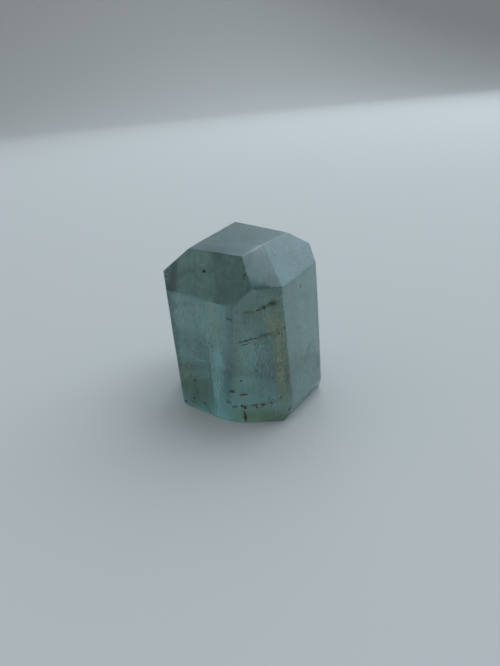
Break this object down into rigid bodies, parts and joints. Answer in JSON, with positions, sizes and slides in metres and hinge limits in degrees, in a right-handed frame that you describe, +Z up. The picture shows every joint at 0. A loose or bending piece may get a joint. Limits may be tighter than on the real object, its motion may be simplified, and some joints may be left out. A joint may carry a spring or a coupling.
{
  "type": "polished aquamarine crystal",
  "caption": "Short, stout prism of cloudy blue-green beryl, ground and polished flat on every side, with chamfered top edges, standing upright on its flat base.",
  "frame": {"origin": "middle of the footprint's box, on the plane of the flat base", "axes": "+Z up along the prism's length, towards the flat top; -Y towards the broad front face; +X to the right when the front face is looked at"},
  "size_m": [0.0192, 0.0252, 0.02],
  "materials": {
    "aquamarine": "hand-polished beryl, part clear and part milky, grey blue-green, with dark mineral specks, rusty healed cracks and milky veils inside"
  },
  "bodies": {
    "root": {"aquamarine_crystal": "aquamarine"}
  },
  "joints": []
}
